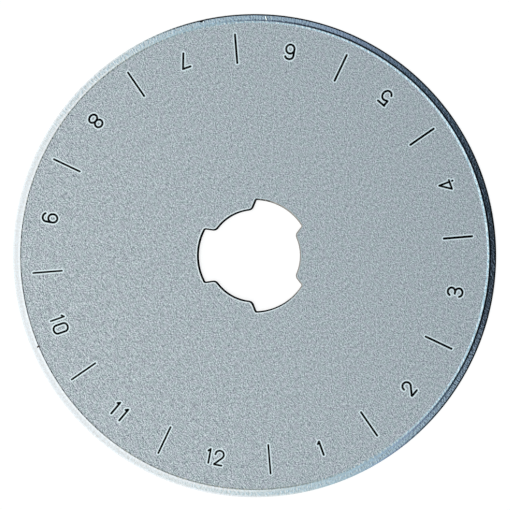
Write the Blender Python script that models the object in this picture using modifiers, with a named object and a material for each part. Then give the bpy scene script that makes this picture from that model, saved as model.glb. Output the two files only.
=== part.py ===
# Rotary cutter blade, 45 mm across: one thin disc of hardened steel, ground to an edge from
# both faces, with a three-lobed bore for the cutter's hub and twelve shallow index ticks.
# Metres, +Z up. The origin is on the bore's axis, in the plane of the bottom face.

from math import atan2, cos, pi, radians, sin, sqrt, tan

import bmesh
import bpy
from mathutils import Matrix, Vector

# Disc
BLADE_DIAMETER = 0.0450
BLADE_THICKNESS = 0.0003

# Edge, ground alike from both faces. The wheel's corner leaves a steeper shoulder where the
# bevel begins, and the tip is honed to a wider angle.
GRIND_WIDTH = 0.00067
SHOULDER_WIDTH = 0.00014
SHOULDER_ANGLE = radians(14)
HONE_WIDTH = 0.00012
HONE_HALF_ANGLE = radians(24.5)

# Bore, with lobes that key the blade to the hub. A lobe's mouth is measured on the bore's
# circle, and from there its two walls lean apart by the flare angle each.
BORE_RADIUS = 0.004215
LOBE_COUNT = 3
LOBE_FIRST_ANGLE = radians(180)
LOBE_DEPTH = 0.00096
LOBE_MOUTH_WIDTH = 0.00455
LOBE_FLARE = radians(8)
LOBE_MOUTH_RADIUS = 0.00055
LOBE_CORNER_RADIUS = 0.00010

# Rounding that the punch leaves on the top edge of the bore: an arc that starts at the face
# with a slight slope and grows steeper down to the bore's wall
PUNCH_ROLL_WIDTH = 0.00013
ROLL_OUTER_SLOPE = radians(8)
ROLL_INNER_SLOPE = radians(33)

# Index ticks, on a ring that sits a little off the bore's axis, as they were marked
TICK_COUNT = 12
TICK_FIRST_ANGLE = radians(4.65)
TICK_LENGTH = 0.00288
TICK_WIDTH = 0.00019
TICK_DEPTH = 0.00002
TICK_TO_GRIND_GAP = 0.00122
TICK_RING_OFFSET = Vector((-0.00018, 0.00015))

# Fineness of the facets, and the angle over which an edge is shaded sharp
RIM_SEGMENTS = 360
ARC_STEP = radians(6)
TICK_END_STEP = radians(45)
PUNCH_ROLL_STEPS = 4
SHARP_ANGLE = radians(8)

# Points closer than this are one point, and a face whose normal is this upright is flat
WELD_DISTANCE = 1e-7
UPRIGHT = 0.9999

# Finishes: base colour, metallic, roughness
SATIN_STEEL = ((0.54, 0.62, 0.66), 1.0, 0.45)
GROUND_STEEL = ((0.62, 0.66, 0.69), 1.0, 0.20)
DARK_MARK = ((0.03, 0.03, 0.035), 0.3, 0.70)


def clear_scene():
    for obj in list(bpy.data.objects):
        bpy.data.objects.remove(obj, do_unlink=True)


def new_collection(name):
    collection = bpy.data.collections.new(name)
    bpy.context.scene.collection.children.link(collection)
    return collection


def steel_material(name, finish):
    colour, metallic, roughness = finish
    material = bpy.data.materials.new(name)
    material.use_nodes = True
    shader = material.node_tree.nodes["Principled BSDF"]
    shader.inputs["Base Color"].default_value = (*colour, 1.0)
    shader.inputs["Metallic"].default_value = metallic
    shader.inputs["Roughness"].default_value = roughness
    material.diffuse_color = (*colour, 1.0)
    return material


def evaluated_mesh(obj):
    """The object's mesh with its modifiers applied, as a new mesh of its own."""
    graph = bpy.context.evaluated_depsgraph_get()
    return bpy.data.meshes.new_from_object(obj.evaluated_get(graph))


def arc(centre, radius, start, end, step=ARC_STEP):
    """Points from angle start to angle end about a centre, both ends included."""
    steps = max(1, round(abs(end - start) / step))
    angles = [start + (end - start) * i / steps for i in range(steps + 1)]
    return [Vector((centre[0] + radius * cos(a), centre[1] + radius * sin(a))) for a in angles]


def edge_profile():
    """Half of the blade's section: down its outer side, from the top face to the bottom face."""
    rim = BLADE_DIAMETER / 2
    middle = BLADE_THICKNESS / 2
    grind_start = rim - GRIND_WIDTH
    shoulder_drop = SHOULDER_WIDTH * tan(SHOULDER_ANGLE)
    hone_rise = HONE_WIDTH * tan(HONE_HALF_ANGLE)
    upper = [
        (0, BLADE_THICKNESS),
        (grind_start, BLADE_THICKNESS),
        (grind_start + SHOULDER_WIDTH, BLADE_THICKNESS - shoulder_drop),
        (rim - HONE_WIDTH, middle + hone_rise),
    ]
    lower = [(radius, BLADE_THICKNESS - height) for radius, height in reversed(upper)]
    return upper + [(rim, middle)] + lower


def turned_blank(name, collection):
    """The ground disc without its bore, with one face for each flat side."""
    mesh = bpy.data.meshes.new(name + "_profile")
    points = edge_profile()
    edges = [(i, i + 1) for i in range(len(points) - 1)]
    mesh.from_pydata([(r, 0, z) for r, z in points], edges, [])
    profile = bpy.data.objects.new(name + "_profile", mesh)
    collection.objects.link(profile)
    screw = profile.modifiers.new("turn", "SCREW")
    screw.steps = screw.render_steps = RIM_SEGMENTS
    screw.use_merge_vertices = True
    screw.merge_threshold = WELD_DISTANCE

    blank = bpy.data.objects.new(name, evaluated_mesh(profile))
    bpy.data.objects.remove(profile)
    bpy.data.meshes.remove(mesh)
    blank.data.name = name
    collection.objects.link(blank)
    join_flat_faces(blank.data)
    return blank


def join_flat_faces(mesh):
    """Turns the fan of triangles on each flat side into a single face."""
    bm = bmesh.new()
    bm.from_mesh(mesh)
    for side in (1, -1):
        fan = [face for face in bm.faces if face.normal.z * side > UPRIGHT]
        bmesh.ops.dissolve_faces(bm, faces=fan, use_verts=True)
    bm.to_mesh(mesh)
    bm.free()


def finish_blank(blank, satin, ground):
    """Gives the flats and the ground edge their finishes, with a crisp line between them."""
    blank.data.materials.append(satin)
    blank.data.materials.append(ground)
    blank.data.shade_smooth()
    blank.data.set_sharp_from_angle(angle=SHARP_ANGLE)
    for face in blank.data.polygons:
        flat = abs(face.normal.z) > UPRIGHT
        face.material_index = 0 if flat else 1
        face.use_smooth = not flat


def bore_outline(offset):
    """The bore's outline counter-clockwise, moved outwards into the steel by an offset.

    Every part of it is an arc or a straight wall, so the offset outline is exact: round
    parts that bulge into the steel grow, and the steel's own rounded corners shrink.
    """
    bore = BORE_RADIUS + offset
    reach = BORE_RADIUS + LOBE_DEPTH + offset
    mouth = LOBE_MOUTH_RADIUS - offset
    corner = LOBE_CORNER_RADIUS + offset

    # One side wall of the lobe that lies along +X: its direction, and how far it is from the axis
    along = Vector((cos(LOBE_FLARE), sin(LOBE_FLARE)))
    into_steel = Vector((-along.y, along.x))
    half_mouth = LOBE_MOUTH_WIDTH / 2
    mouth_edge = Vector((sqrt(BORE_RADIUS**2 - half_mouth**2), half_mouth))
    wall = mouth_edge.dot(into_steel) + offset

    def fillet_centre(from_axis, from_wall):
        """The point at this distance from the axis and this far from the wall, in the steel."""
        across = wall + from_wall
        return into_steel * across + along * sqrt(from_axis**2 - across**2)

    mouth_centre = fillet_centre(bore + mouth, mouth)
    corner_centre = fillet_centre(reach - corner, -corner)
    mouth_angle = atan2(mouth_centre.y, mouth_centre.x)
    corner_angle = atan2(corner_centre.y, corner_centre.x)

    # The upper half of that lobe, from its tip to the middle of the bore's arc
    lobe_tip = arc((0, 0), reach, 0, corner_angle)
    outer_corner = arc(corner_centre, corner, corner_angle, pi / 2 + LOBE_FLARE)
    lobe_mouth = arc(mouth_centre, mouth, LOBE_FLARE - pi / 2, mouth_angle - pi)
    bore_arc = arc((0, 0), bore, mouth_angle, pi / LOBE_COUNT)
    upper = lobe_tip + outer_corner[1:] + lobe_mouth + bore_arc[1:]
    lower = [Vector((p.x, -p.y)) for p in reversed(upper[1:-1])]

    outline = []
    for lobe in range(LOBE_COUNT):
        turn = Matrix.Rotation(LOBE_FIRST_ANGLE + 2 * pi * lobe / LOBE_COUNT, 2)
        outline += [turn @ point for point in lower + upper]
    return outline


def bore_sections():
    """Offset and height of each section of the bore, from under the blade to over it."""
    below, above = -BLADE_THICKNESS, 2 * BLADE_THICKNESS
    roll_radius = PUNCH_ROLL_WIDTH / (sin(ROLL_INNER_SLOPE) - sin(ROLL_OUTER_SLOPE))
    slope_step = (ROLL_INNER_SLOPE - ROLL_OUTER_SLOPE) / PUNCH_ROLL_STEPS
    sections = [(0, below)]
    for step in range(PUNCH_ROLL_STEPS + 1):
        slope = ROLL_INNER_SLOPE - slope_step * step
        offset = roll_radius * (sin(ROLL_INNER_SLOPE) - sin(slope))
        drop = roll_radius * (cos(ROLL_OUTER_SLOPE) - cos(slope))
        sections.append((offset, BLADE_THICKNESS - drop))
    return sections + [(PUNCH_ROLL_WIDTH, above)]


def bore_cutter(name, collection, satin):
    """A loft through the bore's sections, longer than the blade is thick."""
    bm = bmesh.new()
    rings = []
    for offset, height in bore_sections():
        rings.append([bm.verts.new((p.x, p.y, height)) for p in bore_outline(offset)])
    for lower, upper in zip(rings, rings[1:]):
        for i, corner in enumerate(lower):
            before = i - 1
            bm.faces.new((lower[before], corner, upper[i], upper[before]))
    bm.faces.new(reversed(rings[0]))
    bm.faces.new(rings[-1])
    mesh = bpy.data.meshes.new(name)
    bm.to_mesh(mesh)
    bm.free()
    mesh.materials.append(satin)
    mesh.shade_smooth()
    return link_cutter(name, mesh, collection)


def tick_outline(number):
    """One tick's outline: a radial stroke with round ends."""
    ring_edge = BLADE_DIAMETER / 2 - GRIND_WIDTH - TICK_TO_GRIND_GAP
    end = TICK_WIDTH / 2
    outer = (ring_edge - end, 0)
    inner = (ring_edge - TICK_LENGTH + end, 0)
    outer_end = arc(outer, end, -pi / 2, pi / 2, TICK_END_STEP)
    inner_end = arc(inner, end, pi / 2, 3 * pi / 2, TICK_END_STEP)
    turn = Matrix.Rotation(TICK_FIRST_ANGLE + 2 * pi * number / TICK_COUNT, 2)
    return [turn @ point + TICK_RING_OFFSET for point in outer_end + inner_end]


def tick_cutter(name, collection, dark):
    """All the ticks as flat outlines, filled and extruded, and then made one mesh."""
    curve = bpy.data.curves.new(name, "CURVE")
    curve.dimensions = "2D"
    curve.fill_mode = "BOTH"
    curve.extrude = TICK_DEPTH
    for number in range(TICK_COUNT):
        points = tick_outline(number)
        spline = curve.splines.new("POLY")
        spline.points.add(len(points) - 1)
        for slot, point in zip(spline.points, points):
            slot.co = (point.x, point.y, 0, 1)
        spline.use_cyclic_u = True
    guide = bpy.data.objects.new(name + "_outline", curve)
    collection.objects.link(guide)
    mesh = evaluated_mesh(guide)
    bpy.data.objects.remove(guide)
    bpy.data.curves.remove(curve)

    bm = bmesh.new()
    bm.from_mesh(mesh)
    bmesh.ops.remove_doubles(bm, verts=bm.verts, dist=WELD_DISTANCE)
    bmesh.ops.recalc_face_normals(bm, faces=bm.faces)
    bm.to_mesh(mesh)
    bm.free()
    mesh.materials.clear()
    mesh.materials.append(dark)
    cutter = link_cutter(name, mesh, collection)
    cutter.location.z = BLADE_THICKNESS
    return cutter


def link_cutter(name, mesh, collection):
    mesh.name = name
    cutter = bpy.data.objects.new(name, mesh)
    cutter.hide_render = True
    cutter.display_type = "WIRE"
    collection.objects.link(cutter)
    return cutter


def cut(blade, cutter):
    """Takes the cutter's shape out of the blade and gives the cut the cutter's finish."""
    boolean = blade.modifiers.new(cutter.name, "BOOLEAN")
    boolean.operation = "DIFFERENCE"
    boolean.solver = "EXACT"
    boolean.material_mode = "TRANSFER"
    boolean.object = cutter


def build():
    clear_scene()
    parts = new_collection("rotary_cutter_blade")
    cutters = new_collection("cutters")
    satin = steel_material("satin_steel", SATIN_STEEL)
    ground = steel_material("ground_edge_steel", GROUND_STEEL)
    dark = steel_material("dark_marking", DARK_MARK)

    blade = turned_blank("cutter_blade", parts)
    finish_blank(blade, satin, ground)
    cut(blade, bore_cutter("bore_cutter", cutters, satin))
    cut(blade, tick_cutter("tick_cutter", cutters, dark))


build()
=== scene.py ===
# Rotary cutter blade, 45 mm across, lying flat and seen from straight above.
# The real blade is one piece of steel. Its sections below follow the way it is made: the disc
# and its satin faces, the ground edge, the punched bore, the index marks, the numbers, the wear.

from math import atan2, ceil, cos, pi, radians, sin, sqrt, tan

import bmesh
import bpy
from mathutils import Matrix, Vector


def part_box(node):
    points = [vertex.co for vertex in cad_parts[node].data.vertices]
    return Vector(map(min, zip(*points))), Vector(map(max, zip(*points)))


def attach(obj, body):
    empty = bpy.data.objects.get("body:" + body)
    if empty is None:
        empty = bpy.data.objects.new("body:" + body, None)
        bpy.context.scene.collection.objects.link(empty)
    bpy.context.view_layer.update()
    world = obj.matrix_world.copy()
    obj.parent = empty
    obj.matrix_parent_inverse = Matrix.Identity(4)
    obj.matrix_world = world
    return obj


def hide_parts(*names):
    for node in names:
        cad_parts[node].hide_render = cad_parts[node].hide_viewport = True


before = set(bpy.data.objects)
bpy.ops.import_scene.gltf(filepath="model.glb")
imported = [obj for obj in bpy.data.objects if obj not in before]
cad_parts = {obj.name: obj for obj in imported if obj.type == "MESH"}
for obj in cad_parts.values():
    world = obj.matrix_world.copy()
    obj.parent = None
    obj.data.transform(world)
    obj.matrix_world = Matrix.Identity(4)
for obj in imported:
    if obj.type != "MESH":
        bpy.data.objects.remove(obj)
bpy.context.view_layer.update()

lowest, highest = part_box("cutter_blade")

# Camera: a long lens straight over the disc. The disc sits a little below and left of the
# middle of the frame, as it does in the photograph.
IMAGE_WIDTH_PX = 510
DISC_CENTRE_PX = (254.65, 255.63)
RIM_RADIUS_PX = 241.7
HALF_FIELD = radians(4.0)

metres_per_px = highest.x / RIM_RADIUS_PX
lens = bpy.data.cameras.new("overhead_lens")
lens.lens = lens.sensor_width / 2 / tan(HALF_FIELD)
lens.clip_start = 0.01
overhead = bpy.data.objects.new("overhead", lens)
bpy.context.scene.collection.objects.link(overhead)
bpy.context.scene.camera = overhead
overhead.location = (
    (IMAGE_WIDTH_PX / 2 - DISC_CENTRE_PX[0]) * metres_per_px,
    (DISC_CENTRE_PX[1] - IMAGE_WIDTH_PX / 2) * metres_per_px,
    highest.z + IMAGE_WIDTH_PX / 2 * metres_per_px / tan(HALF_FIELD),
)


# Satin faces: hardened strip with a fine, faintly directional finish. Its rolling grain runs
# down to the right and breaks the light into specks a tenth or two of a millimetre wide, with
# longer streaks toward the lower left. There the specks' contrast is also raised: painted light,
# for grazing light from that side.
def set_stops(elements, stops):
    """Gives a colour ramp its stops, each a place from 0 to 1 and a colour."""
    while len(elements) < len(stops):
        elements.new(0.5)
    for element, (place, colour) in zip(elements, stops):
        element.position = place
        element.color = colour


class Socket:
    """An output of a shader node, on which the shader's maths is plain arithmetic."""

    def __init__(self, tree, output=None):
        self.tree = tree
        self.output = output

    def node(self, kind, settings={}, inputs={}, output=0):
        """A new node of this kind: its settings first, then values or links for its inputs."""
        made = self.tree.nodes.new("ShaderNode" + kind)
        for name, value in settings.items():
            if name == "stops":
                set_stops(made.color_ramp.elements, value)
            else:
                setattr(made, name, value)
        for name, value in inputs.items():
            if isinstance(value, Socket):
                self.tree.links.new(value.output, made.inputs[name])
            else:
                made.inputs[name].default_value = value
        if made.outputs:
            return Socket(self.tree, made.outputs[output])

    def maths(self, operation, first, second, clamp=False):
        settings = {"operation": operation, "use_clamp": clamp}
        return self.node("Math", settings, {0: first, 1: second})

    def __add__(self, other):
        return self.maths("ADD", self, other)

    def __sub__(self, other):
        return self.maths("SUBTRACT", self, other)

    def __mul__(self, other):
        return self.maths("MULTIPLY", self, other)

    def __truediv__(self, other):
        return self.maths("DIVIDE", self, other)

    def __rsub__(self, other):
        return self.maths("SUBTRACT", other, self)

    __radd__ = __add__
    __rmul__ = __mul__

    def kept(self):
        """The value held between 0 and 1."""
        return self.maths("ADD", self, 0.0, clamp=True)

    def ramp(self, low, high):
        """0 below low, 1 above high, and straight between them. Low may be the larger."""
        return ((self - low) / (high - low)).kept()

    def vector(self, operation, second=None, scale=None):
        """A Vector Math node on this vector."""
        inputs = {0: self}
        if second is not None:
            inputs[1] = second
        if scale is not None:
            inputs["Scale"] = scale
        output = "Value" if operation in ("DOT_PRODUCT", "LENGTH") else 0
        return self.node("VectorMath", {"operation": operation}, inputs, output)

    def mix(self, first, second):
        """Two colours mixed by this value."""
        inputs = {0: self, 6: first, 7: second}
        return self.node("Mix", {"data_type": "RGBA"}, inputs, 2)

    def flat(self):
        """This vector without its height."""
        return self.vector("MULTIPLY", (1.0, 1.0, 0.0))

    def toward(self, angle):
        """How far this vector reaches toward the side of the disc that is at an angle."""
        return self.vector("DOT_PRODUCT", (cos(angle), sin(angle), 0))

    def noise(self, size, detail=2.0, roughness=0.5):
        """Noise between 0 and 1 over the disc's plan, with features about as wide as size."""
        inputs = {"Vector": self, "Scale": 1 / size, "Detail": detail, "Roughness": roughness}
        return self.node("TexNoise", {"noise_dimensions": "2D"}, inputs)


def rgba(colour):
    """A colour with nothing see-through, as sockets and ramps take it."""
    return (*colour, 1.0)


def new_material(name):
    """An empty material, and its object coordinates as the start of its shader maths."""
    material = bpy.data.materials.new(name)
    material.use_nodes = True
    material.node_tree.nodes.clear()
    position = Socket(material.node_tree).node("TexCoord", {}, {}, "Object")
    return material, position


def finish_material(material, colour, roughness, metallic=1.0, height=None, depth=1.0):
    """Gives a material its surface. Height, from 0 to 1, is bump that is depth metres deep."""
    inputs = {"Base Color": colour, "Roughness": roughness, "Metallic": metallic}
    base = Socket(material.node_tree)
    if height is not None:
        inputs["Normal"] = base.node("Bump", {}, {"Height": height, "Distance": depth})
    shader = base.node("BsdfPrincipled", {}, inputs)
    base.node("OutputMaterial", {}, {"Surface": shader})


SATIN_GREENISH = (0.548, 0.602, 0.616)
SATIN_PINKISH = (0.567, 0.581, 0.623)
SATIN_CONTRAST = 1.32
SATIN_RELIEF = 0.000002
SATIN_ROUGHNESS = 0.43
SATIN_ROUGHNESS_SWING = 0.3
SPECK_SIZE = 0.00010
GRAIN_SIZE = 0.00013
GRAIN_STRETCH = 2.4
GRAIN_SHARE = 0.3
GRAIN_DIRECTION = radians(125)
# The tint drifts from one colour to the other between these two values of its noise
PATCH_SIZE = 0.0006
PATCH_SPREAD = (0.35, 0.65)
# The side of the grazing light, how much the specks' contrast is raised there as painted light,
# and where the streaks start and are full, as shares of the disc's radius toward that side
GRAZING_LIGHT_SIDE = radians(210)
GRAZING_LIGHT_BOOST = 0.14
STREAKS_START = -0.4
STREAKS_FULL = 0.5
STREAK_SIZE = 0.00014
STREAK_STRETCH = 9.0
STREAK_SHARE = 0.15


def along_grain(position, stretch):
    """The position drawn out along the grain, so that noise over it is longer that way."""
    turned = position.node(
        "VectorRotate",
        {"rotation_type": "Z_AXIS"},
        {"Vector": position, "Angle": -GRAIN_DIRECTION},
    )
    return turned.vector("MULTIPLY", (1 / stretch, 1.0, 1.0))


def satin_tone(position):
    """Light and shade of the satin finish, from 0 to 1."""
    specks = position.noise(SPECK_SIZE, 0.0)
    grain = along_grain(position, GRAIN_STRETCH).noise(GRAIN_SIZE, 0.0)
    return specks * (1 - GRAIN_SHARE) + grain * GRAIN_SHARE


satin, position = new_material("satin_steel")
tone = satin_tone(position)
patches = position.noise(PATCH_SIZE, 2.0, 0.6)
tint = patches.ramp(*PATCH_SPREAD).mix(rgba(SATIN_GREENISH), rgba(SATIN_PINKISH))
toward_grazing_light = position.toward(GRAZING_LIGHT_SIDE)
streaked = toward_grazing_light.ramp(STREAKS_START * highest.x, STREAKS_FULL * highest.x) * STREAK_SHARE
streaks = (along_grain(position, STREAK_STRETCH).noise(STREAK_SIZE, 0.0) - 0.5) * streaked
# Painted light: the specks' contrast rises toward the side of the grazing light
contrast = (toward_grazing_light * (GRAZING_LIGHT_BOOST / highest.x) + 1) * SATIN_CONTRAST
shaded = tint.vector("ADD", (tone + streaks - 0.5) * contrast)
uneven = (tone - 0.5) * SATIN_ROUGHNESS_SWING + SATIN_ROUGHNESS
finish_material(satin, shaded, uneven, height=tone, depth=SATIN_RELIEF)


# Ground edge: the bevel is ground alike from both faces with a fine wheel, so its lines run
# across it, and the tip is honed steeper. The wheel leaves a hair-thin raised line at its edge.
GRIND_WIDTH = 0.00067
SHOULDER_WIDTH = 0.00018
SHOULDER_ANGLE = radians(14)
HONE_WIDTH = 0.000135
HONE_HALF_ANGLE = radians(22.8)
BURR_WIDTH = 0.00015
BURR_SHIFT = (-0.00005, -0.00001)
BURR_HEIGHT = 0.000015
RIM_SEGMENTS = 1440
SHARP_ANGLE = radians(3)
# Points closer than this are one point, and a face whose normal is this upright is level
WELD_DISTANCE = 1e-7
UPRIGHT = 0.999999

GROUND_COLOUR = (0.62, 0.655, 0.68)
GROUND_BLUE = (0.58, 0.64, 0.69)
GROUND_CONTRAST = 0.9
GROUND_ROUGHNESS = 0.14
GROUND_ROUGHNESS_SWING = 0.1
# The wheel leaves fine lines across the edge and coarser marks. They are cut less deep in the
# shoulder and the hone than in the bevel, with a soft step between.
WHEEL_LINE_WIDTH = 0.00010
WHEEL_LINE_SHARE = 0.25
WHEEL_MARK_WIDTH = 0.00022
WHEEL_RELIEF = 0.000026
SHALLOW_SHARE = 0.3
SOFT_STEP = 0.00003
# The raised line has a straw tint on one side of the disc and a blue one on the other: how far
# toward the straw side, from -1 to 1, and the tint there
STRAW_SIDE = radians(200)
BURR_TINTS = [
    (-1.0, (0.64, 0.765, 0.85)),
    (-0.6, (0.58, 0.69, 0.765)),
    (-0.1, (0.50, 0.54, 0.56)),
    (0.2, (0.45, 0.43, 0.40)),
    (0.8, (0.60, 0.53, 0.45)),
]
BEAD_BASE = 0.55
BEAD_CONTRAST = 0.9
# How rough the grinding is round the rim: an angle in degrees, and a share
GRINDING = [
    (-180, 0.5), (-110, 0.85), (-50, 1.1), (-38, 1.1), (-26, 1.0),
    (-14, 0.6), (0, 0.8), (35, 0.7), (58, 0.3), (72, 0.5),
    (84, 1.15), (100, 1.3), (138, 1.4), (153, 0.7), (180, 0.5),
]

rim = highest.x
thickness = highest.z - lowest.z
face_height = thickness - BURR_HEIGHT

ground, position = new_material("ground_edge_steel")
round_the_rim = position.flat().vector("NORMALIZE").vector("SCALE", scale=rim)
from_axis = position.flat().vector("LENGTH")
bevel_start, bevel_end = rim - GRIND_WIDTH + SHOULDER_WIDTH, rim - HONE_WIDTH
in_bevel = from_axis.ramp(bevel_start - SOFT_STEP, bevel_start + SOFT_STEP)
in_bevel = in_bevel * from_axis.ramp(bevel_end + SOFT_STEP, bevel_end - SOFT_STEP)
lines = round_the_rim.noise(WHEEL_LINE_WIDTH, 1.0)
marks = position.noise(WHEEL_MARK_WIDTH, 2.0, 0.6)
tint = marks.ramp(*PATCH_SPREAD).mix(rgba(GROUND_COLOUR), rgba(GROUND_BLUE))
x = position.node("SeparateXYZ", {}, {0: position}, "X")
y = position.node("SeparateXYZ", {}, {0: position}, "Y")
stops = [(angle / 360 + 0.5, (share, share, share, 1.0)) for angle, share in GRINDING]
way_round = y.maths("ARCTAN2", y, x) / (2 * pi) + 0.5
grinding = way_round.node("ValToRGB", {"stops": stops}, {0: way_round})
tone = (lines * WHEEL_LINE_SHARE + marks * (1 - WHEEL_LINE_SHARE) - 0.5) * grinding
shaded = tint.vector("SCALE", scale=tone * GROUND_CONTRAST + 1.0)
cut = tone * (in_bevel * (1 - SHALLOW_SHARE) + SHALLOW_SHARE)
uneven = (lines - 0.5) * GROUND_ROUGHNESS_SWING + GROUND_ROUGHNESS
finish_material(ground, shaded, uneven, height=cut, depth=WHEEL_RELIEF)

burr, position = new_material("wheel_burr_steel")
beads = position.noise(WHEEL_MARK_WIDTH, 1.0)
toward_straw = position.flat().vector("NORMALIZE").toward(STRAW_SIDE)
stops = [(place / 2 + 0.5, rgba(tint)) for place, tint in BURR_TINTS]
tint = toward_straw.node("ValToRGB", {"stops": stops}, {0: toward_straw.ramp(-1, 1)})
shaded = tint.vector("SCALE", scale=beads * BEAD_CONTRAST + BEAD_BASE)
finish_material(burr, shaded, GROUND_ROUGHNESS, height=beads, depth=WHEEL_RELIEF)


def linked(name, mesh):
    """A new object of this mesh in the scene."""
    mesh.name = name
    thing = bpy.data.objects.new(name, mesh)
    bpy.context.scene.collection.objects.link(thing)
    return thing


def evaluated_mesh(thing):
    """A mesh of the object as its modifiers leave it."""
    graph = bpy.context.evaluated_depsgraph_get()
    return bpy.data.meshes.new_from_object(thing.evaluated_get(graph))


def edge_section():
    """Half of the disc's section: down its outer side, from the top face to the bottom face."""
    middle = thickness / 2
    shoulder_drop = SHOULDER_WIDTH * tan(SHOULDER_ANGLE)
    hone_rise = HONE_WIDTH * tan(HONE_HALF_ANGLE)
    upper = [
        (0, face_height),
        (rim - GRIND_WIDTH - BURR_WIDTH, face_height),
        (rim - GRIND_WIDTH, thickness),
        (rim - GRIND_WIDTH + SHOULDER_WIDTH, thickness - shoulder_drop),
        (rim - HONE_WIDTH, middle + hone_rise),
    ]
    lower = [(r, thickness - z) for r, z in reversed(upper)]
    return upper + [(rim, middle)] + lower


def turned_disc(name):
    """The ground disc without its bore, with one face for each flat side."""
    section = edge_section()
    mesh = bpy.data.meshes.new(name + "_section")
    edges = [(i, i + 1) for i in range(len(section) - 1)]
    mesh.from_pydata([(r, 0, z) for r, z in section], edges, [])
    guide = linked(name + "_section", mesh)
    screw = guide.modifiers.new("turn", "SCREW")
    screw.steps = screw.render_steps = RIM_SEGMENTS
    screw.use_merge_vertices = True
    screw.merge_threshold = WELD_DISTANCE
    turned = evaluated_mesh(guide)
    bpy.data.objects.remove(guide)

    bm = bmesh.new()
    bm.from_mesh(turned)
    for side in (1, -1):
        fan = [face for face in bm.faces if face.normal.z * side > UPRIGHT]
        bmesh.ops.dissolve_faces(bm, faces=fan, use_verts=True)
    # The inner border of the wheel's raised line sits a little to the left
    for corner in bm.verts:
        if abs(corner.co.xy.length - (rim - GRIND_WIDTH - BURR_WIDTH)) < WELD_DISTANCE:
            corner.co.xy += Vector(BURR_SHIFT)
    bm.to_mesh(turned)
    bm.free()
    return linked(name, turned)


blade = turned_disc("cutter_blade_steel")
for finish in (satin, ground, burr):
    blade.data.materials.append(finish)
blade.data.shade_smooth()
blade.data.set_sharp_from_angle(angle=SHARP_ANGLE)
finishes = list(blade.data.materials)
for face in blade.data.polygons:
    if abs(face.normal.z) > UPRIGHT:
        face.use_smooth = False
    elif face.center.xy.length < rim - GRIND_WIDTH:
        face.material_index = finishes.index(burr)
    else:
        face.material_index = finishes.index(ground)


# Bore: punched through, with three lobes that key the blade to the hub. The punch rolls the
# top edge over, and pushes up a very low swelling round it.
BORE_RADIUS = 0.004215
LOBE_COUNT = 3
LOBE_FIRST_ANGLE = radians(180)
LOBE_DEPTH = 0.00096
LOBE_MOUTH_WIDTH = 0.00455
LOBE_FLARE = radians(8)
LOBE_MOUTH_RADIUS = 0.00055
LOBE_CORNER_RADIUS = 0.00010
PUNCH_ROLL_WIDTH = 0.000155
PUNCH_ROLL_STEPS = 12
ROLL_OUTER_SLOPE = radians(8)
ROLL_INNER_SLOPE = radians(33)
PUNCH_LEAN = 0.00005
SWELLING_WIDTH = 0.00011
SWELLING_HEIGHT = 0.000008
BORE_STEP = radians(1.5)
FILLET_STEP = radians(7.5)

# Painted highlight colour, for the swelling's lit side and the bands beside the marks
PAINTED_HIGHLIGHT_COLOUR = (0.92, 0.985, 1.0)
PAINTED_HIGHLIGHT_ROUGHNESS = 0.4
ROLLED_COLOUR = (0.26, 0.25, 0.24)
ROLLED_ROUGHNESS = 0.2
# On the bore's left, where the roll faces away from the light, the roll is painted near black as
# painted shade, and the swelling is painted bright as a painted highlight. Over these stretches,
# from -1 on the far side to 1 on that side, the roll turns dark and the swelling turns from satin
# to bright.
PAINTED_SHADE_COLOUR = (0.012, 0.013, 0.015)
BORE_PAINTED_LIGHT_SIDE = radians(196)
PAINTED_SHADE_STARTS = (-0.6, -0.3)
PAINTED_HIGHLIGHT_STARTS = (-0.7, -0.1)
SCUFF_SIZE = 0.0002
SCUFF_ROUGHNESS = 0.1
SCUFF_RELIEF = 0.000001

# Painted highlight: the swelling turns bright toward the bore's left, where the light falls on it
swollen, position = new_material("swollen_steel_painted_highlight")
toward_bore_painted_light = position.flat().vector("NORMALIZE").toward(BORE_PAINTED_LIGHT_SIDE)
tint = toward_bore_painted_light.ramp(*PAINTED_HIGHLIGHT_STARTS).mix(rgba(SATIN_GREENISH), rgba(PAINTED_HIGHLIGHT_COLOUR))
shaded = tint.vector("SCALE", scale=satin_tone(position) + 0.5)
finish_material(swollen, shaded, PAINTED_HIGHLIGHT_ROUGHNESS)

# Painted shade: the roll turns near black toward the bore's left side
rolled, position = new_material("rolled_edge_steel_painted_shade")
scuffs = position.noise(SCUFF_SIZE, 2.0)
toward_bore_painted_light = position.flat().vector("NORMALIZE").toward(BORE_PAINTED_LIGHT_SIDE)
painted_shade = (toward_bore_painted_light + scuffs - 0.5).ramp(*PAINTED_SHADE_STARTS)
shaded = painted_shade.mix(rgba(ROLLED_COLOUR), rgba(PAINTED_SHADE_COLOUR))
uneven = scuffs * SCUFF_ROUGHNESS + ROLLED_ROUGHNESS
finish_material(rolled, shaded, uneven, height=scuffs, depth=SCUFF_RELIEF)


def arc(centre, radius, start, end, step=BORE_STEP):
    """Points from angle start to angle end about a centre, both ends included."""
    steps = max(1, round(abs(end - start) / step))
    angles = [start + (end - start) * i / steps for i in range(steps + 1)]
    return [Vector((centre[0] + radius * cos(a), centre[1] + radius * sin(a))) for a in angles]


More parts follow.
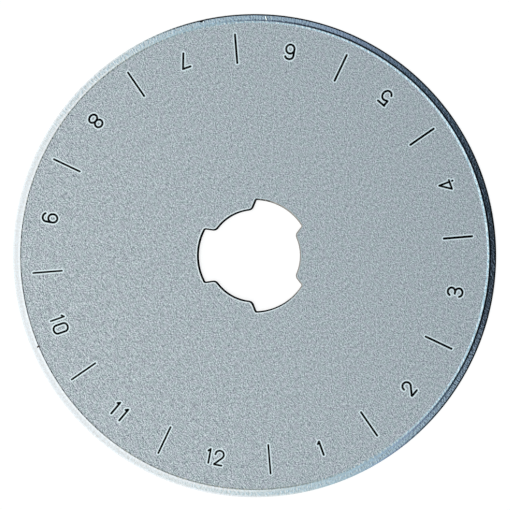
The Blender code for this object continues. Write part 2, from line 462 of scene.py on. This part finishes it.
def bore_outline(offset):
    """The bore's outline counter-clockwise, moved outwards into the steel by an offset.
    Its parts are arcs and straight walls, so rounds into the steel grow and others shrink."""
    bore = BORE_RADIUS + offset
    reach = BORE_RADIUS + LOBE_DEPTH + offset
    mouth = LOBE_MOUTH_RADIUS - offset
    corner = LOBE_CORNER_RADIUS + offset
    along = Vector((cos(LOBE_FLARE), sin(LOBE_FLARE)))
    into_steel = Vector((-along.y, along.x))
    half_mouth = LOBE_MOUTH_WIDTH / 2
    mouth_edge = Vector((sqrt(BORE_RADIUS**2 - half_mouth**2), half_mouth))
    wall = mouth_edge.dot(into_steel) + offset

    def fillet_centre(from_axis, from_wall):
        across = wall + from_wall
        return into_steel * across + along * sqrt(from_axis**2 - across**2)

    mouth_centre = fillet_centre(bore + mouth, mouth)
    corner_centre = fillet_centre(reach - corner, -corner)
    mouth_angle = atan2(mouth_centre.y, mouth_centre.x)
    corner_angle = atan2(corner_centre.y, corner_centre.x)
    lobe_tip = arc((0, 0), reach, 0, corner_angle)
    outer_corner = arc(corner_centre, corner, corner_angle, pi / 2 + LOBE_FLARE, FILLET_STEP)
    lobe_mouth = arc(mouth_centre, mouth, LOBE_FLARE - pi / 2, mouth_angle - pi, FILLET_STEP)
    bore_arc = arc((0, 0), bore, mouth_angle, pi / LOBE_COUNT)
    upper = lobe_tip + outer_corner[1:] + lobe_mouth + bore_arc[1:]
    lower = [Vector((p.x, -p.y)) for p in reversed(upper[1:-1])]
    outline = []
    for lobe in range(LOBE_COUNT):
        turn = Matrix.Rotation(LOBE_FIRST_ANGLE + 2 * pi * lobe / LOBE_COUNT, 2)
        outline += [turn @ point for point in lower + upper]
    return outline


def bore_loft(name, sections, material):
    """A closed loft through bore outlines, from the bottom up. Each section has the outline's
    offset into the steel, how far it leans to the left, and its height."""
    bm = bmesh.new()
    rings = []
    for offset, lean, height in sections:
        rings.append([bm.verts.new((p.x - lean, p.y, height)) for p in bore_outline(offset)])
    for lower, upper in zip(rings, rings[1:]):
        for i, corner in enumerate(lower):
            bm.faces.new((lower[i - 1], corner, upper[i], upper[i - 1]))
    bm.faces.new(reversed(rings[0]))
    bm.faces.new(rings[-1])
    mesh = bpy.data.meshes.new(name)
    bm.to_mesh(mesh)
    bm.free()
    mesh.materials.append(material)
    mesh.shade_smooth()
    return linked(name, mesh)


def worked(piece, tool, operation="DIFFERENCE", overlapping=False):
    """Cuts the tool out of the piece, or joins it on. The new faces keep the tool's finish. A
    tool that is overlapping has strokes that cross each other."""
    boolean = piece.modifiers.new(tool.name, "BOOLEAN")
    boolean.operation = operation
    boolean.solver = "EXACT"
    boolean.use_self = overlapping
    boolean.material_mode = "TRANSFER"
    boolean.object = tool
    mesh = evaluated_mesh(piece)
    piece.modifiers.clear()
    piece.data = mesh
    bpy.data.objects.remove(tool)


swelling_foot = PUNCH_ROLL_WIDTH + SWELLING_WIDTH
swelling_top = face_height + SWELLING_HEIGHT
swelling = bore_loft(
    "swelling",
    [
        (swelling_foot + SWELLING_WIDTH, PUNCH_LEAN, face_height - SWELLING_HEIGHT),
        (PUNCH_ROLL_WIDTH, PUNCH_LEAN, swelling_top),
    ],
    swollen,
)
worked(blade, swelling, "UNION")

roll_radius = PUNCH_ROLL_WIDTH / (sin(ROLL_INNER_SLOPE) - sin(ROLL_OUTER_SLOPE))
bore_sections = [(0, 0, -thickness)]
for step in range(PUNCH_ROLL_STEPS + 1):
    slope = ROLL_INNER_SLOPE + (ROLL_OUTER_SLOPE - ROLL_INNER_SLOPE) * step / PUNCH_ROLL_STEPS
    offset = PUNCH_ROLL_WIDTH - roll_radius * (sin(slope) - sin(ROLL_OUTER_SLOPE))
    drop = roll_radius * (cos(ROLL_OUTER_SLOPE) - cos(slope))
    lean = PUNCH_LEAN * offset / PUNCH_ROLL_WIDTH
    bore_sections.append((offset, lean, swelling_top - drop))
bore_sections.append((PUNCH_ROLL_WIDTH, PUNCH_LEAN, 2 * thickness))
worked(blade, bore_loft("bore", bore_sections, rolled))


# Index marks: twelve radial ticks, marked into the face with a hair-fine dark line in a shallow
# band whose bright colour is a painted highlight, for the light caught by the line's raised sides.
# The marking sits a little off the bore's axis.
MARK_RING_CENTRE = Vector((-0.00018, 0.00015))
MARK_DEPTH = 0.00002
HIGHLIGHT_BAND_WIDTH = 0.00012
HIGHLIGHT_BAND_DEPTH = 0.0000015
DEPTH_STEP = 0.0000003
DEPTH_STEPS = 4
STROKE_END_STEP = radians(20)
TENTH = 0.0001
TICK_COUNT = 12
TICK_FIRST_ANGLE = radians(4.65)
TICK_RADIUS = 0.01917
TICK_LENGTH = 0.00285
# How far each tick stands off its place, counter-clockwise round the ring, and how wide it is,
# both in tenths of a millimetre
TICK_SLIPS = [-0.1, 0.2, 0.2, -0.1, -0.5, -0.5, 1.1, 0.3, -0.1, 0.0, -0.8, -0.5]
TICK_WIDTHS = [2.15, 2.1, 2.05, 2.05, 1.95, 1.9, 1.8, 1.8, 1.85, 1.8, 1.95, 2.05]

PAINTED_HIGHLIGHT_BASE = 0.84
PAINTED_HIGHLIGHT_CONTRAST = 0.4
MARK_BLACK = (0.002, 0.0022, 0.0025)
MARK_GREY = (0.010, 0.011, 0.012)
MARK_PATCH_SIZE = 0.0006
MARK_GREY_SHARE = 0.5
MARK_ROUGHNESS = 0.6
MARK_RELIEF = 0.000004

# Painted highlight: the bright band beside each mark stands in for light caught by its raised
# sides
painted_highlight, position = new_material("painted_highlight_steel")
tone = satin_tone(position)
shine = (tone * PAINTED_HIGHLIGHT_CONTRAST + PAINTED_HIGHLIGHT_BASE).kept()
shaded = shine.mix(rgba((0, 0, 0)), rgba(PAINTED_HIGHLIGHT_COLOUR))
finish_material(painted_highlight, shaded, PAINTED_HIGHLIGHT_ROUGHNESS, height=tone, depth=SATIN_RELIEF / 2)

# The chip's faces also take this near-black colour, as painted shade
etched_mark_and_painted_shade, position = new_material("dark_etched_mark_and_painted_shade")
patchy = position.noise(MARK_PATCH_SIZE, 2.0)
shaded = (patchy * MARK_GREY_SHARE).mix(rgba(MARK_BLACK), rgba(MARK_GREY))
finish_material(etched_mark_and_painted_shade, shaded, MARK_ROUGHNESS, height=patchy, depth=MARK_RELIEF)


def stroke_outline(line, half_width):
    """The outline of a stroke of even width with round ends, along a smooth line of points."""
    directions = []
    for i in range(len(line)):
        ahead = line[min(i + 1, len(line) - 1)]
        behind = line[max(i - 1, 0)]
        directions.append((ahead - behind).normalized())
    left, right = [], []
    for point, direction in zip(line, directions):
        aside = Vector((-direction.y, direction.x)) * half_width
        left.append(point + aside)
        right.append(point - aside)
    out = atan2(directions[-1].y, directions[-1].x)
    back = atan2(directions[0].y, directions[0].x)
    far_end = arc(line[-1], half_width, out - pi / 2, out + pi / 2, STROKE_END_STEP)
    near_end = arc(line[0], half_width, back + pi / 2, back + 3 * pi / 2, STROKE_END_STEP)
    return right[:-1] + far_end + left[-2:0:-1] + near_end[:-1]


def stroke_tool(name, lines, widths, depth, material):
    """Prisms that cut these lines into the face to a depth. Lines that cross differ a little
    in depth, because the tool that cuts them can't hold two faces in one plane."""
    bm = bmesh.new()
    for number, (line, width) in enumerate(zip(lines, widths)):
        height = face_height - depth - DEPTH_STEP * (number % DEPTH_STEPS)
        outline = stroke_outline(line, width / 2)
        bottom = [bm.verts.new((point.x, point.y, height)) for point in outline]
        top_height = (2 + number % DEPTH_STEPS) * thickness
        top = [bm.verts.new((point.x, point.y, top_height)) for point in outline]
        for i, corner in enumerate(bottom):
            bm.faces.new((bottom[i - 1], corner, top[i], top[i - 1]))
        bm.faces.new(reversed(bottom))
        bm.faces.new(top)
    mesh = bpy.data.meshes.new(name)
    bm.to_mesh(mesh)
    bm.free()
    mesh.materials.append(material)
    return linked(name, mesh)


def marked_into(piece, name, lines, widths, highlight_width):
    """Cuts a shallow band with a painted highlight along each line, then the dark line into it."""
    band_widths = [width + 2 * highlight_width for width in widths]
    bands = stroke_tool(name + "_band", lines, band_widths, HIGHLIGHT_BAND_DEPTH, painted_highlight)
    worked(piece, bands, overlapping=True)
    strokes = stroke_tool(name, lines, widths, MARK_DEPTH, etched_mark_and_painted_shade)
    worked(piece, strokes, overlapping=True)


ticks = []
for number in range(TICK_COUNT):
    reach = (TICK_LENGTH - TICK_WIDTHS[number] * TENTH) / 2
    angle = TICK_FIRST_ANGLE + 2 * pi * number / TICK_COUNT
    outward = Vector((cos(angle), sin(angle)))
    onward = Vector((-outward.y, outward.x))
    middle = MARK_RING_CENTRE + outward * TICK_RADIUS + onward * TICK_SLIPS[number] * TENTH
    ticks.append([middle - outward * reach, middle + outward * reach])

marked_into(blade, "ticks", ticks, [width * TENTH for width in TICK_WIDTHS], HIGHLIGHT_BAND_WIDTH)


# Numbers: 1 to 12, each midway between two ticks, with its top toward the bore. They are
# marked with the same point as the ticks, in plain single-line figures.
FIGURE_HEIGHT = 0.00136
FIGURE_WIDTH = 0.00074
NUMBER_HIGHLIGHT_BAND_WIDTH = 0.00013
NUMBER_RADIUS = 0.01917
NUMBER_FIRST_ANGLE = radians(289.65)


def curve(x, y, wide, high, start, end):
    """An elliptical stretch of a figure, between two angles in degrees."""
    steps = max(2, ceil(abs(end - start) / 12))
    angles = [radians(start + (end - start) * i / steps) for i in range(steps + 1)]
    return [(x + wide * cos(a), y + high * sin(a)) for a in angles]


# Each figure is a list of strokes on a box from -1 to 1, up being the figure's own top
FIGURES = {
    "0": [
        [(1.05, -0.4)] + curve(0, 0.50, 1.05, 0.50, 0, 180) + [(-1.05, 0.3)],
        [(-1.05, 0.4)] + curve(0, -0.50, 1.05, 0.50, 180, 360) + [(1.05, -0.3)],
    ],
    "1": [[(0, -0.93), (0, 1.0)], [(0, 1.0), (-0.5, 0.72)]],
    "2": [
        curve(0, 0.42, 1.06, 0.57, 182, -45) + [(-0.95, -0.93)],
        [(-0.95, -1.0), (0.92, -1.0)],
    ],
    "3": [
        curve(-0.02, 0.50, 1.0, 0.50, 160, -85) + [(-0.4, 0.0)],
        [(-0.2, 0.0)] + curve(0.02, -0.5, 1.06, 0.52, 75, -163),
    ],
    "4": [
        [(0.62, 1.0), (-1.2, -0.5)],
        [(-1.2, -0.5), (1.15, -0.5)],
        [(0.62, 1.0), (0.69, -0.47)],
        [(0.70, -0.88), (0.71, -0.95)],
    ],
    "5": [
        [(-1.05, 1.0), (1.05, 1.0)],
        [(-0.9, 1.0), (-0.9, 0.22)],
        [(-0.9, 0.22)] + curve(0.12, -0.30, 1.08, 0.70, 125, -150),
    ],
    "6": [
        curve(0, 0.5, 1.05, 0.52, 25, 180) + [(-1.05, -0.3)],
        curve(0, -0.38, 1.05, 0.62, -5, 175),
        curve(0, -0.38, 1.05, 0.62, 170, 360),
    ],
    "7": [[(-1.0, 1.0), (1.0, 1.0)], [(1.0, 1.0), (-0.4, -1.0)]],
    "8": [
        curve(0, 0.5, 1.0, 0.5, -5, 180),
        curve(0, 0.5, 1.0, 0.5, 175, 360),
        curve(0, -0.5, 1.12, 0.5, -5, 180),
        curve(0, -0.5, 1.12, 0.5, 175, 360),
    ],
}
FIGURES["9"] = [[(-x, -y) for x, y in stroke] for stroke in FIGURES["6"]]

# Each number's figures: how far a figure stands off its place on the ring, to its right and
# upwards, and how wide its line is, all in tenths of a millimetre
NUMBERS = {
    1: [("1", -0.6, -0.3, 2.0)],
    2: [("2", -1.1, -0.1, 2.05)],
    3: [("3", -1.0, 0.0, 2.1)],
    4: [("4", -0.8, 0.0, 1.9)],
    5: [("5", -0.2, 0.5, 2.05)],
    6: [("6", -0.2, 0.3, 2.0)],
    7: [("7", -0.5, 0.9, 2.0)],
    8: [("8", 0.2, 0.3, 2.05)],
    9: [("9", 0.8, 0.1, 2.0)],
    10: [("1", -4.3, -0.1, 1.7), ("0", 5.1, 0.1, 1.95)],
    11: [("1", -4.3, -0.4, 1.95), ("1", 5.6, -0.5, 1.95)],
    12: [("1", -5.8, -0.6, 1.85), ("2", 3.3, -0.6, 1.85)],
}

figure_lines = []
figure_widths = []
for number, figures in NUMBERS.items():
    angle = NUMBER_FIRST_ANGLE + 2 * pi * (number - 1) / TICK_COUNT
    up = Vector((-cos(angle), -sin(angle)))
    right = Vector((up.y, -up.x))
    place = MARK_RING_CENTRE - up * NUMBER_RADIUS
    for figure, aside, above, width in figures:
        origin = place + right * aside * TENTH + up * above * TENTH
        for stroke in FIGURES[figure]:
            figure_lines.append([
                origin + right * across * FIGURE_WIDTH / 2 + up * rise * FIGURE_HEIGHT / 2
                for across, rise in stroke
            ])
            figure_widths.append(width * TENTH)

marked_into(blade, "numbers", figure_lines, figure_widths, NUMBER_HIGHLIGHT_BAND_WIDTH)


# Wear: a chip in the cutting edge with a bright lip, a ridge thrown up across the bevel, a
# brown fleck where the bevel begins, and one pit in the face. All are left by handling. The
# chip's faces take the marks' near-black colour, as painted shade in the notch.

# Each place is a distance from the disc's axis and an angle in degrees
CHIP_PLACE = (0.02240, 102.75)
CHIP_DIRECTION = radians(30)
CHIP_LENGTH = 0.00008
CHIP_WIDTH = 0.00026
CHIP_FLOOR = 0.000147
FLECK_PLACE = (0.02186, 202.8)
FLECK_DIRECTION = radians(30)
FLECK_LENGTH = 0.00022
FLECK_WIDTH = 0.00014
FLECK_FLOOR = 0.000262
PIT_PLACE = (0.01247, 340.6)
PIT_DIRECTION = radians(110)
PIT_LENGTH = 0.00003
PIT_WIDTH = 0.0001
# The lip and the ridge: their place, their turn from straight outwards, and their length,
# width and height above the bevel
LIP = ((0.02230, 102.3), 0, 0.00014, 0.00024, 0.000028)
RIDGE = ((0.02213, 87.2), radians(15), 0.00046, 0.00033, 0.000036)
# How far their crest leans aside, as a share of half their width
CREST_LEAN = 0.05

FLECK_BROWN = (0.085, 0.062, 0.050)
FLECK_GRAIN = 0.00012
FLECK_BASE = 0.7
FLECK_CONTRAST = 0.6
BRUISED_COLOUR = (0.84, 0.97, 1.0)
BRUISED_ROUGHNESS = 0.2

fleck_finish, position = new_material("brown_fleck")
grain = position.noise(FLECK_GRAIN)
shaded = (grain * FLECK_CONTRAST + FLECK_BASE).mix(rgba((0, 0, 0)), rgba(FLECK_BROWN))
finish_material(fleck_finish, shaded, MARK_ROUGHNESS, height=grain, depth=MARK_RELIEF)

bruised, position = new_material("bruised_steel")
finish_material(bruised, rgba(BRUISED_COLOUR), BRUISED_ROUGHNESS)


def on_disc(place):
    """The point at a distance from the disc's axis and an angle in degrees."""
    distance, angle = place
    return Vector((cos(radians(angle)), sin(radians(angle)))) * distance


def nicked(name, place, direction, length, width, floor_height, material):
    """Cuts a short dash about a place, down to a height above the blade's bottom face."""
    half = Vector((cos(direction), sin(direction))) * length / 2
    dash = [on_disc(place) - half, on_disc(place) + half]
    depth = face_height - floor_height
    worked(blade, stroke_tool(name, [dash], [width], depth, material))


def thrown_up(name, place, turn, length, width, height):
    """Joins on a low tent that runs outwards across the bevel and stands a height above it. Its
    crest is two thirds as long as its foot."""
    main_drop = thickness / 2 - SHOULDER_WIDTH * tan(SHOULDER_ANGLE)
    main_drop -= HONE_WIDTH * tan(HONE_HALF_ANGLE)
    main_slope = main_drop / (GRIND_WIDTH - SHOULDER_WIDTH - HONE_WIDTH)
    distance, angle = place
    outward = Matrix.Rotation(turn, 2) @ on_disc((1, angle))
    aside = Vector((-outward.y, outward.x)) * width / 2
    fall = (distance - rim + GRIND_WIDTH - SHOULDER_WIDTH) * main_slope
    surface = thickness - SHOULDER_WIDTH * tan(SHOULDER_ANGLE) - fall
    bm = bmesh.new()
    for end in (-1, 1):
        foot = on_disc(place) + outward * end * length / 2
        crest = on_disc(place) + outward * end * length / 3 - aside * CREST_LEAN
        level = surface - end * length / 2 * main_slope
        for point in (foot - aside, foot + aside):
            bm.verts.new((point.x, point.y, level - height))
        bm.verts.new((crest.x, crest.y, surface - end * length / 3 * main_slope + height))
    bmesh.ops.convex_hull(bm, input=bm.verts)
    mesh = bpy.data.meshes.new(name)
    bm.to_mesh(mesh)
    bm.free()
    mesh.materials.append(bruised)
    worked(blade, linked(name, mesh), "UNION")


thrown_up("ridge", *RIDGE)
thrown_up("lip", *LIP)
# Painted shade: the chip's faces take the marks' near-black colour
nicked("chip", CHIP_PLACE, CHIP_DIRECTION, CHIP_LENGTH, CHIP_WIDTH, CHIP_FLOOR, etched_mark_and_painted_shade)
nicked("fleck", FLECK_PLACE, FLECK_DIRECTION, FLECK_LENGTH, FLECK_WIDTH, FLECK_FLOOR, fleck_finish)
pit_floor = face_height - MARK_DEPTH
nicked("pit", PIT_PLACE, PIT_DIRECTION, PIT_LENGTH, PIT_WIDTH, pit_floor, etched_mark_and_painted_shade)

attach(blade, "root")
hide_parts("cutter_blade")


# Floor: a pale matt board under the blade. It shows white, also where the steel mirrors it,
# and keeps the blade's shadow.
FLOOR_SIZE = 3.0
FLOOR_COLOUR = (0.30, 0.30, 0.30)
FLOOR_GLOW = 0.82


def seen_directly(base):
    """1 for what the camera, a mirror or a glass shows, and 0 for light cast on things."""
    camera, glossy, clear = (
        base.node("LightPath", {}, {}, ray)
        for ray in ("Is Camera Ray", "Is Glossy Ray", "Is Transmission Ray")
    )
    return (camera + glossy + clear).kept()


board, position = new_material("pale_board")
strength = seen_directly(position) * FLOOR_GLOW
glow = position.node("Emission", {}, {"Color": rgba((1, 1, 1)), "Strength": strength})
matt = position.node("BsdfDiffuse", {}, {"Color": rgba(FLOOR_COLOUR)})
both = position.node("AddShader", {}, {0: glow, 1: matt})
position.node("OutputMaterial", {}, {"Surface": both})

floor_mesh = bpy.data.meshes.new("floor")
half = FLOOR_SIZE / 2
corners = [(-half, -half), (half, -half), (half, half), (-half, half)]
floor_mesh.from_pydata([(*corner, lowest.z) for corner in corners], [], [(0, 1, 2, 3)])
floor_mesh.materials.append(board)
floor = linked("floor", floor_mesh)


# Light: a soft studio round the blade, bright on its left and dark on its right, with a dark
# card at its upper right and a dimmed screen at its right. The light is weaker low down, and a
# pale band runs all round near the horizon.
BRIGHT_SIDE = radians(199)
SIDE_LIMIT = 0.5
# How far toward the bright side, and the light from there
STUDIO = [
    (-0.50, (0.010, 0.016, 0.022)),
    (-0.36, (0.016, 0.026, 0.034)),
    (-0.285, (0.042, 0.092, 0.118)),
    (-0.24, (0.262, 0.356, 0.492)),
    (-0.195, (0.422, 0.500, 0.705)),
    (-0.10, (0.545, 0.732, 0.822)),
    (-0.04, (0.571, 0.762, 0.826)),
    (0.045, (0.70, 0.857, 0.899)),
    (0.09, (0.829, 0.947, 0.946)),
    (0.14, (1.01, 1.08, 1.06)),
    (0.18, (1.30, 1.29, 1.22)),
    (0.265, (1.255, 1.225, 1.20)),
    (0.50, (1.50, 1.48, 1.44)),
]
CARD_SIDE = radians(61)
CARD_LOW = 0.44
CARD_HIGH = 0.50
CARD_COLOUR = (0.010, 0.014, 0.018)
# The dimmed screen's side, its soft ends, and its soft start on the way to the dark side
DIM_SIDE = radians(355)
DIM_ENDS = (0.86, 0.95)
DIM_STARTS = (-0.14, -0.20)
DIMMED = 0.72
# Heights are from 0 at the horizon to 1 straight above
LOW_START = 0.62
LOW_END = 0.42
LOW_LIGHT = 0.55
HORIZON_HIGH = 0.42
HORIZON_LOW = 0.26
HORIZON_COLOUR = (0.70, 0.72, 0.73)

world = bpy.data.worlds.new("soft_studio")
bpy.context.scene.world = world
world.use_nodes = True
world.node_tree.nodes.clear()
studio = Socket(world.node_tree)
direction = studio.node("TexCoord", {}, {}, "Generated")
toward_bright = direction.toward(BRIGHT_SIDE)
stops = [(place / SIDE_LIMIT / 2 + 0.5, rgba(light)) for place, light in STUDIO]
across = toward_bright.ramp(-SIDE_LIMIT, SIDE_LIMIT)
sky = studio.node("ValToRGB", {"stops": stops}, {0: across})
sky = direction.toward(CARD_SIDE).ramp(CARD_LOW, CARD_HIGH).mix(sky, rgba(CARD_COLOUR))
toward_dim = direction.flat().vector("NORMALIZE").toward(DIM_SIDE)
dim = toward_dim.ramp(*DIM_ENDS) * toward_bright.ramp(*DIM_STARTS)
sky = sky.vector("SCALE", scale=1 - dim * DIMMED)
height = direction.vector("DOT_PRODUCT", (0, 0, 1))
sky = sky.vector("SCALE", scale=height.ramp(LOW_END, LOW_START) * (1 - LOW_LIGHT) + LOW_LIGHT)
sky = height.ramp(HORIZON_HIGH, HORIZON_LOW).mix(sky, rgba(HORIZON_COLOUR))
sky = studio.node("Background", {}, {"Color": sky, "Strength": 1.0})
white = studio.node("Background", {}, {"Color": rgba((1, 1, 1)), "Strength": 1.0})
camera_ray = studio.node("LightPath", {}, {}, "Is Camera Ray")
shown = studio.node("MixShader", {}, {0: camera_ray, 1: sky, 2: white})
studio.node("OutputWorld", {}, {"Surface": shown})

bpy.context.scene.view_settings.view_transform = "Standard"
